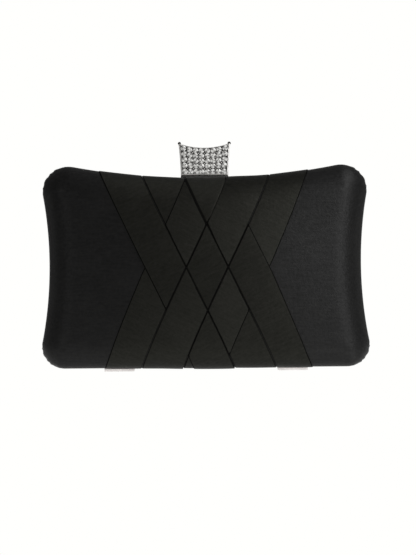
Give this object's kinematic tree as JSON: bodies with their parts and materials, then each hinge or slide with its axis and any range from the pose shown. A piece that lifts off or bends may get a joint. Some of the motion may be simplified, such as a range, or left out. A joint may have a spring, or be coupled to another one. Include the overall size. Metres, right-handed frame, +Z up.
{
  "type": "evening bag",
  "caption": "Hard-case satin evening bag that opens on bottom hinges, with a plaited front and a sprung, stone-set press clasp on the top edge.",
  "frame": {"origin": "under the middle of the bag, in the parting plane of the two halves, at the height of the hinge leaves' undersides", "axes": "+Z up, +X to the right seen from the front, +Y from the front half to the back half"},
  "size_m": [0.1998, 0.05, 0.1402],
  "materials": {
    "satin": "black satin",
    "padding": "thin foam wadding",
    "shell": "moulded",
    "lining": "plain woven lining",
    "gusset": "pleated lining fabric",
    "rim": "polished",
    "hinge": "polished",
    "pin": "drawn",
    "spring": "drawn",
    "clasp": "polished",
    "clasp_base": "polished",
    "stones": "cut clear stones with foiled backs"
  },
  "bodies": {
    "back_half": {"back_cover": "satin", "back_padding": "padding", "back_shell": "shell", "back_lining": "lining", "back_frame": "rim", "hinge_leaf_back_left": "hinge", "hinge_leaf_back_right": "hinge", "hinge_pin_left": "pin", "hinge_pin_right": "pin", "clasp_bracket": "clasp_base", "clasp_pivot_pin": "pin", "clasp_spring": "spring", "slip_pocket": "lining", "gusset_left": "gusset", "gusset_right": "gusset"},
    "front_half": {"front_cover": "satin", "band_down_left": "satin", "band_down_middle": "satin", "band_down_right": "satin", "band_up_left": "satin", "band_up_middle": "satin", "band_up_right": "satin", "front_padding": "padding", "front_shell": "shell", "front_lining": "lining", "front_frame": "rim", "hinge_leaf_front_left": "hinge", "hinge_leaf_front_right": "hinge", "clasp_catch": "clasp_base"},
    "clasp": {"clasp_lever": "clasp", "clasp_stones": "stones"}
  },
  "joints": [
    {"name": "opening", "type": "hinge", "parent": "back_half", "child": "front_half", "pos_m": [0, 0, 0.0016], "axis": [1, 0, 0], "range_deg": [0, 65], "deforming": ["gusset_left", "gusset_right"]},
    {"name": "clasp_press", "type": "hinge", "parent": "back_half", "child": "clasp", "pos_m": [0, 0.004, 0.121], "axis": [-1, 0, 0], "range_deg": [0, 18], "stiffness_Nm_per_rad": 0.05, "springref_deg": -11.46}
  ]
}
